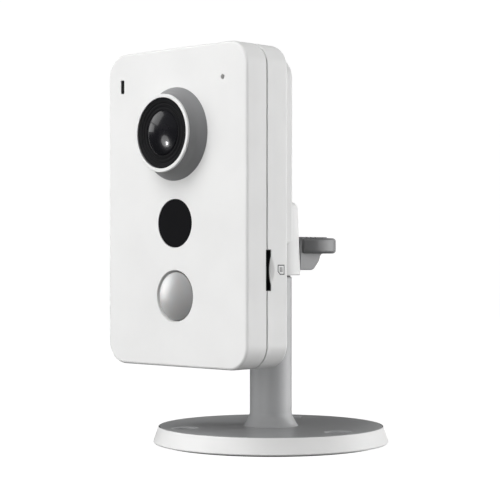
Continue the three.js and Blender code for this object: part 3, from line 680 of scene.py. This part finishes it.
def motion_lens():
    """A milky dome over a stepped flange."""
    radius, rim, apex = 8.35, 0.5, -2.0
    rise = rim - apex
    ball = (radius ** 2 + rise ** 2) / (2 * rise)
    span = math.degrees(math.asin(radius / ball))
    cap = [(r, y) for y, r in arc((apex + ball, 0), ball, 180, 180 - span, 20)]
    cap[0] = (0, apex)
    profile = cap + [(radius, 2.6), (10.2, 2.6), (10.2, 3.3), (0, 3.3)]
    lens = turned("motion_lens", profile, (MOTION.x, FACE_Y, MOTION.z), "Y", MATERIALS["dome_white"], 128)
    dress(soften(lens, 0.12, 2, 50), "motion_dome")


def status_pipe():
    front = low("light_pipe").y
    pipe = prism("status_pipe", card(PIPE.x, PIPE.z, 1.55, 4.65, 0.4, 5), "Y", front, front + 8,
                 MATERIALS["smoked_clear"])
    dress(soften(pipe, 0.1, 2), "light_pipe")


infrared_pane()
motion_lens()
status_pipe()


# ---------------------------------------------------------------- screws, ports and the button at the back

def screw_head(name, node):
    """A pan head with a cross recess, on its shank."""
    spot, back, front = middle(node), high(node).y, low(node).y
    radius = (high(node).x - low(node).x) / 2
    tall, dome, shank = 1.15, 0.75, 0.95
    crown = arc((0, 0), radius, 0, 90, 6)
    profile = [(0, front), (shank, front), (shank, back - tall), (radius, back - tall)]
    profile += [(r, back - dome + dome * rise / radius) for r, rise in crown]
    profile[-1] = (0, back)
    head = turned(name, profile, (spot.x, 0, spot.z), "Y", MATERIALS["steel"], 40)
    half, arm = 0.28, radius * 0.58
    for across, up in ((arm, half), (half, arm)):
        cut(head, tool_box((spot.x - across, back - 0.8, spot.z - up),
                           (spot.x + across, back + 1, spot.z + up)))
    dress(soften(head, 0.06, 1), node)


def network_socket():
    half_w, half_h = 8.0, 6.75
    front, back = low("network_jack").y, high("network_jack").y
    x, z = NETWORK.x, NETWORK.z
    socket = tool_box((x - half_w, front, z - half_h), (x + half_w, back, z + half_h))
    socket.name = "network_socket"
    socket.data.materials.clear()
    socket.data.materials.append(MATERIALS["black_plastic"])
    cut(socket,
        tool_box((x - 5.85, front + 1.7, z - 3.5), (x + 5.85, back + 1, z + 3.5)),
        tool_box((x - 3.1, front + 4.2, z - 5.8), (x + 3.1, back + 1, z - 3.4)),
        tool_box((x - 1.6, front + 6.0, z - 6.4), (x + 1.6, back + 1, z - 5.6)))
    dress(soften(socket, 0.15, 2), "network_jack")
    pitch, half_wire = 1.02, 0.17
    for k in range(8):
        wire_x = x + (k - 3.5) * pitch
        route = [(back - 1.2, z + 3.3), (back - 1.2, z + 3.0), (front + 3.2, z + 0.4), (front + 2.4, z + 0.4),
                 (front + 2.4, z + 0.7), (front + 3.1, z + 0.7)]
        wire = prism(f"network_contact_{k + 1}", route, "X", wire_x - half_wire, wire_x + half_wire, GOLD)
        extra(wire, "camera")


def power_socket():
    x, z = POWER.x, POWER.z
    front, back = low("power_jack").y, high("power_jack").y
    shell = prism("power_socket", card(x, z, 8.0, 3.0, 0.4, 4), "Y", front, back, MATERIALS["steel"])
    cavity = rounded([(x - 2.6, z - 1.1, 0.2), (x + 2.6, z - 1.1, 0.2), (x + 3.5, z - 0.3, 0.2),
                      (x + 3.5, z + 1.1, 0.2), (x - 3.5, z + 1.1, 0.2), (x - 3.5, z - 0.3, 0.2)], 3)
    cut(shell, prism("tool", cavity, "Y", front + 1.5, back + 1, WHITE_SKIN))
    dress(soften(shell, 0.08, 2), "power_jack")
    tongue = prism("power_tongue", card(x, z + 0.1, 3.8, 0.6, 0.1, 2), "Y", front + 1.4, back - 0.8,
                   MATERIALS["black_plastic"])
    extra(soften(tongue, 0.05, 1), "camera")


def reset_cap():
    front, back = low("reset_button").y, high("reset_button").y
    cap = turned("reset_cap", rounded([
        (0, front), (1.2, front), (1.2, front + 0.7), (2.7, front + 0.7), (2.7, front + 1.5),
        (1.8, front + 1.5), (1.8, back, 0.3), (1.1, back, 0.2), (0.9, back - 0.2, 0.1), (0, back - 0.25)], 4),
        (RESET.x, 0, RESET.z), "Y", MATERIALS["surround_grey"], 48)
    dress(soften(cap, 0.05, 1), "reset_button")


for number, node in enumerate(COVER_SCREWS, 1):
    screw_head(f"cover_screw_head_{number}", node)
for number, node in enumerate(BRACKET_SCREWS, 1):
    screw_head(f"bracket_screw_head_{number}", node)
network_socket()
power_socket()
reset_cap()


# ---------------------------------------------------------------- tilt bracket, head, pins and link

PIN_R = 1.5
PIN_HOLE_R = 1.6
ARM_INNER = 4.7
ARM_OUTER = 8.2
PLATE_FRONT = low("tilt_bracket").y
PLATE_BACK = PLATE_FRONT + 1.8
TILT_AT = (TILT.x, TILT.y, TILT.z)
LEVER_AT = (LEVER.x, LEVER.y, LEVER.z)


def arm_outline():
    radius = 5.5
    start = 71.6
    points = [(PLATE_BACK - 0.8, height(53))]
    points += arc((TILT.y, TILT.z), radius, start, -180, 40)
    points.append((PLATE_BACK - 0.8, height(44.4)))
    return points


def tilt_plate():
    width, tall, corner = 26, 23.5, 3
    plate = prism("tilt_plate", card(0, height(55.95), width, tall, corner, 8), "Y",
                  PLATE_FRONT, PLATE_BACK, WHITE_SKIN)
    for start, end in ((ARM_INNER, ARM_OUTER), (-ARM_OUTER, -ARM_INNER)):
        join(plate, prism("tool", arm_outline(), "X", start, end, WHITE_SKIN))
    tools = [tool_rod("X", PIN_HOLE_R, -12, 12, TILT_AT, 40)]
    for node in BRACKET_SCREWS:
        spot = middle(node)
        tools.append(tool_rod("Y", 1.2, PLATE_FRONT - 1, PLATE_BACK + 1, (spot.x, 0, spot.z), 32))
    cut(plate, *tools)
    dress(soften(plate, 0.35, 3), "tilt_bracket")


HEAD_LOW = low("swivel_head").z
HEAD_TOP = high("swivel_head").z
HEAD_BACK = high("swivel_head").y


def head_block():
    """A tapered round head with a flat back, a pocket for the bracket's arms and a forward tongue."""
    profile = rounded([(0, HEAD_LOW), (10.8, HEAD_LOW, 0.4), (9.75, HEAD_TOP, 3.1), (0, HEAD_TOP)], 10)
    piece = turned("head_block", profile, (0, 0, 0), "Z", WHITE_SKIN, 128)
    cut(piece,
        tool_box((-20, HEAD_BACK, 50), (20, 30, 100)),
        tool_rod("X", 6.1, -ARM_OUTER - 0.5, ARM_OUTER + 0.5, TILT_AT, 96))
    tongue = [(-6, TILT.z + 4.9)] + arc((TILT.y, TILT.z), 4.9, 90, 270, 30) + [(-6, TILT.z - 4.9)]
    join(piece, prism("tool", tongue, "X", -4.4, 4.4, WHITE_SKIN))
    cut(piece,
        tool_rod("Z", 5.3, HEAD_LOW - 2, 66.9, (0, 0, 0), 64),
        tool_box((-1.8, -25, 69.0), (1.8, 12, 75.8)),
        tool_rod("X", PIN_HOLE_R, -6, 6, TILT_AT, 40))
    dress(soften(piece, 0.3, 3), "swivel_head")


def rod_piece(name, node, at):
    half = (high(node).x - low(node).x) / 2
    rod = turned(name, rounded([(0, -half), (PIN_R, -half, 0.3), (PIN_R, half, 0.3), (0, half)], 4), at, "X",
                 MATERIALS["steel"], 40)
    dress(rod, node)


def link_bar():
    eye, half = 3.1, 1.5
    lean = math.degrees(math.asin(2.2 / eye))
    outline = arc((TILT.y, TILT.z), eye, lean, 360 - lean, 30)
    outline += arc((LEVER.y, LEVER.z), eye, lean - 180, 180 - lean, 30)
    bar = prism("link_bar", outline, "X", -half, half, MATERIALS["steel"])
    cut(bar, tool_rod("X", PIN_HOLE_R, -4, 4, TILT_AT, 40), tool_rod("X", PIN_HOLE_R, -4, 4, LEVER_AT, 40))
    dress(soften(bar, 0.2, 2), "clamp_link")


tilt_plate()
head_block()
rod_piece("tilt_rod", "tilt_pin", TILT_AT)
rod_piece("lever_rod", "lever_pin", LEVER_AT)
link_bar()


# ---------------------------------------------------------------- locking lever

LEVER_TOP = high("lock_lever").z
LEVER_UNDER = LEVER_TOP - 6.1
LEVER_SKIN = MATERIALS["lever_grey"]


def lever_handle():
    """A hub behind the head that runs out into a round paddle, with grip grooves near its root."""
    side = 4.6
    turn = 180 - math.degrees(math.asin((LEVER_TOP - LEVER.z) / side))
    front = LEVER.y - side
    hub = rounded([(front, low("lock_lever").z), (15.2, low("lock_lever").z, 3.0), (18.4, 66.6, 3.0),
                   (19.4, LEVER_UNDER, 2.2), (23.0, LEVER_UNDER), (23.0, LEVER_TOP)], 8)
    hub += arc((LEVER.y, LEVER.z), side, turn, 180, 10)
    piece = prism("lever_handle", hub, "X", -7.4, 7.4, LEVER_SKIN)
    soften(piece, 1.1, 4, apply=True)
    centre_y = 18.0
    profile = rounded([(0, LEVER_UNDER), (12.0, LEVER_UNDER, 1.2), (12.0, LEVER_TOP - 0.4, 1.2),
                       (0, LEVER_TOP - 0.4)], 5)
    paddle = turned("tool", profile, (0, centre_y, 0), "Z", LEVER_SKIN, 128)
    cut(paddle, tool_box((-20, 0, 60), (20, LEVER.y - 3.2, 80)))
    soften(paddle, 0.6, 3, 50, apply=True)
    join(piece, paddle)
    tools = [tool_box((-2.0, 5, 60), (2.0, LEVER.y + 3.6, 80)),
             tool_rod("X", PIN_HOLE_R, -7.1, 7.1, LEVER_AT, 40)]
    for k in range(3):
        start = 10.9 + 2.4 * k
        tools.append(tool_box((-20, start, LEVER_TOP - 0.5), (20, start + 0.9, LEVER_TOP + 1)))
    cut(piece, *tools)
    dress(soften(piece, 0.12, 2), "lock_lever")


lever_handle()


# ---------------------------------------------------------------- stand

BASE_TOP = 6.5
COLUMN_TOP = 60.8
SCREW_RING = 32.4
SCREW_HOLE_R = 1.95
SEAT_R = 4.5
SEAT_EDGE_R = 5.1
WALL_SCREWS = [(SCREW_RING * math.cos(k * 2 * math.pi / 3), SCREW_RING * math.sin(k * 2 * math.pi / 3))
               for k in range(3)]


def stand_post():
    """The base's top plate and the column in one moulding, with three screw seats; their grey, darker than
    the base's white rim, is partly the plastic's own tone and partly painted shade on the up-facing base top
    and the column.
    """
    profile = rounded([
        (0, 4.7), (40.6, 4.7), (40.6, BASE_TOP, 0.3), (9.95, BASE_TOP, 0.3), (9.2, 7.6, 1.2),
        (7.67, 10.6, 5.0),
        (7.67, COLUMN_TOP, 0.3), (5.0, COLUMN_TOP), (5.0, 66.5, 0.5), (0, 66.5)], 7)
    piece = turned("stand_post", profile, (0, 0, 0), "Z", MATERIALS["stand_grey"], 160)
    bosses = [tool_rod("Z", 6.0, 2.5, 5.0, (x, y, 0), 48) for x, y in WALL_SCREWS]
    for boss in bosses:
        boss.data.materials.clear()
        boss.data.materials.append(MATERIALS["stand_grey"])
    join(piece, *bosses)
    seat = [(0, 3.6), (SEAT_R, 3.6), (SEAT_R, 5.9), (SEAT_EDGE_R, 6.6), (SEAT_EDGE_R, 9), (0, 9)]
    cut(piece,
        *[turned("tool", seat, (x, y, 0), "Z", MATERIALS["stand_grey"], 64) for x, y in WALL_SCREWS],
        *[tool_rod("Z", SCREW_HOLE_R, 1, 9, (x, y, 0), 40) for x, y in WALL_SCREWS])
    dress(soften(piece, 0.18, 2), "stand_column")


def base_shell():
    profile = rounded([
        (0, 1.1), (40.8, 1.1), (40.8, 0.6), (42.6, 0.6, 0.1), (42.95, 1.0, 0.3), (41.07, BASE_TOP, 0.12),
        (40.9, BASE_TOP), (40.9, 4.6), (39.2, 4.6), (39.2, 2.4), (0, 2.4)], 5)
    piece = turned("base_shell", profile, (0, 0, 0), "Z", WHITE_SKIN, 160)
    cut(piece, *[tool_rod("Z", SCREW_HOLE_R, 0, 3, (x, y, 0), 32) for x, y in WALL_SCREWS])
    dress(soften(piece, 0.05, 1), "base_body")


def base_foot():
    pad = turned("base_foot", rounded([(0, 0), (40.5, 0, 0.3), (40.5, 1.0, 0.1), (0, 1.0)], 4),
                 (0, 0, 0), "Z", MATERIALS["pad_rubber"], 160)
    cut(pad, *[tool_rod("Z", 4.0, -1, 2, (x, y, 0), 48) for x, y in WALL_SCREWS])
    dress(soften(pad, 0.08, 1), "base_pad")


def neck_washer():
    base, top = low("swivel_washer").z, high("swivel_washer").z
    ring = turned("neck_washer", rounded([(5.3, base), (7.2, base, 0.1), (7.2, top, 0.1), (5.3, top)], 3),
                  (0, 0, 0), "Z", MATERIALS["washer_nylon"], 96)
    dress(ring, "swivel_washer")


stand_post()
base_shell()
base_foot()
neck_washer()


# ---------------------------------------------------------------- inner CAD nodes that stay

def finish_inner_nodes():
    for name, node in frame["nodes"].items():
        node.data.materials.clear()
        node.data.materials.append(MATERIALS[SLOT_OF[name]])


finish_inner_nodes()


# ---------------------------------------------------------------- camera, lights and floor

VIEW_TURN = math.radians(43.9)
VIEW_PLACE = (0.39366, -0.42006, 0.06801)
FOCUS_PER_FRAME = 3.1446
SENSOR = 36.0
SHIFT_UP = 0.0145


def add_camera():
    data = bpy.data.cameras.new("photo_view")
    data.sensor_width = SENSOR
    data.lens = FOCUS_PER_FRAME * SENSOR
    data.shift_y = SHIFT_UP
    data.clip_start = 0.01
    data.dof.use_dof = False
    camera = bpy.data.objects.new("photo_view", data)
    camera.location = VIEW_PLACE
    camera.rotation_euler = (math.pi / 2, 0, VIEW_TURN)
    bpy.context.scene.collection.objects.link(camera)
    bpy.context.scene.camera = camera


def add_light(name, bearing, rise, width, tall, power, distance=1.2, aim=(0, -0.03, 0.08)):
    """A soft box at a bearing, anticlockwise from +X, and a rise above the aim, both in degrees."""
    data = bpy.data.lights.new(name, "AREA")
    data.shape = "RECTANGLE"
    data.size = width
    data.size_y = tall
    data.energy = power
    light = bpy.data.objects.new(name, data)
    turn, lift = math.radians(bearing), math.radians(rise)
    away = Vector((math.cos(turn) * math.cos(lift), math.sin(turn) * math.cos(lift), math.sin(lift)))
    light.location = Vector(aim) + away * distance
    light.rotation_euler = away.to_track_quat("Z", "Y").to_euler()
    light.visible_camera = False
    bpy.context.scene.collection.objects.link(light)
    return light


def only_on(light, piece):
    """Keeps a light to one piece."""
    group = bpy.data.collections.new(f"lit_by_{light.name}")
    group.objects.link(bpy.data.objects[piece])
    light.light_linking.receiver_collection = group


def add_world():
    """Faint light, most of it from above."""
    world = bpy.data.worlds.new("studio_air")
    world.use_nodes = True
    tree = world.node_tree
    coord = tree.nodes.new("ShaderNodeTexCoord")
    split = tree.nodes.new("ShaderNodeSeparateXYZ")
    ranger = tree.nodes.new("ShaderNodeMapRange")
    ranger.inputs["From Min"].default_value = 0.1
    ranger.inputs["From Max"].default_value = 0.3
    ranger.inputs["To Min"].default_value = 0.02
    ranger.inputs["To Max"].default_value = 0.09
    tree.links.new(coord.outputs["Generated"], split.inputs["Vector"])
    tree.links.new(split.outputs["Z"], ranger.inputs["Value"])
    tree.links.new(ranger.outputs["Result"], tree.nodes["Background"].inputs["Strength"])
    tree.nodes["Background"].inputs["Color"].default_value = (1, 1, 1, 1)
    bpy.context.scene.world = world


LENS_AIM = (0, -0.053, 0.11)


def add_lights():
    """Soft boxes round the desk, a high one in front, and small ones for the lens and the dome."""
    boxes = ((225, 4.9), (280, 7.6), (20, 3.8), (45, 6.6), (70, 5.6), (110, 1.2))
    for number, (bearing, power) in enumerate(boxes, 1):
        box = add_light(f"side_box_{number}", bearing, 5, 0.7, 1.0, power)
        box.visible_glossy = bearing < 180
    front = add_light("front_box", 260, 50, 0.8, 0.8, 9.4)
    front.visible_glossy = False
    glass = (("lens_box_high", 196, 28, 0.95, 0.46, 1.25), ("lens_box_low", 190, 11, 0.62, 0.2, 0.36))
    for name, bearing, rise, width, tall, power in glass:
        only_on(add_light(name, bearing, rise, width, tall, power, aim=LENS_AIM), "lens_front_glass")
    discs = (("lens_spark", 247, -18, 0.13, 1.7), ("lens_glow", 243, -13, 0.5, 1.1))
    for name, bearing, rise, size, power in discs:
        spot = add_light(name, bearing, rise, size, size, power, aim=LENS_AIM)
        spot.data.shape = "DISK"
        spot.visible_diffuse = False
        only_on(spot, "lens_front_glass")
    only_on(add_light("dome_box", 197, 10, 0.7, 0.7, 14, aim=LENS_AIM), "motion_lens")


def add_floor():
    """A pale floor that sweeps up into a round backdrop, seen by the camera and not lighting the object."""
    radius, sweep, tall = 2.5, 0.6, 3.0
    curve = [(radius - sweep + a, b) for a, b in arc((0, sweep), sweep, -90, 0, 12)]
    profile = [(0, 0)] + curve + [(radius, tall)]
    points = [(r / MM, z / MM) for r, z in profile]
    sides = 96
    verts, faces = [(0, 0, 0)], []
    for radius_mm, z in points[1:]:
        verts += [placed("Z", (0, 0, 0), radius_mm, z, 2 * math.pi * k / sides) for k in range(sides)]
    for k in range(sides):
        j = (k + 1) % sides
        faces.append([0, 1 + k, 1 + j])
        for ring in range(len(points) - 2):
            base = 1 + ring * sides
            faces.append([base + k, base + j, base + sides + j, base + sides + k])
    material, tree, surface = shader("studio_paper")
    surface.inputs["Base Color"].default_value = (0.1, 0.1, 0.1, 1)
    surface.inputs["Roughness"].default_value = 0.9
    surface.inputs["Specular IOR Level"].default_value = 0.0
    surface.inputs["Emission Color"].default_value = (1, 1, 1, 1)
    surface.inputs["Emission Strength"].default_value = 1.0
    floor = new_piece("studio_floor", verts, faces, material)
    floor.visible_diffuse = False
    floor.visible_glossy = False
    floor.visible_transmission = False
    floor.visible_shadow = False


add_camera()
add_world()
add_lights()
add_floor()
bpy.context.scene.view_settings.view_transform = "Standard"
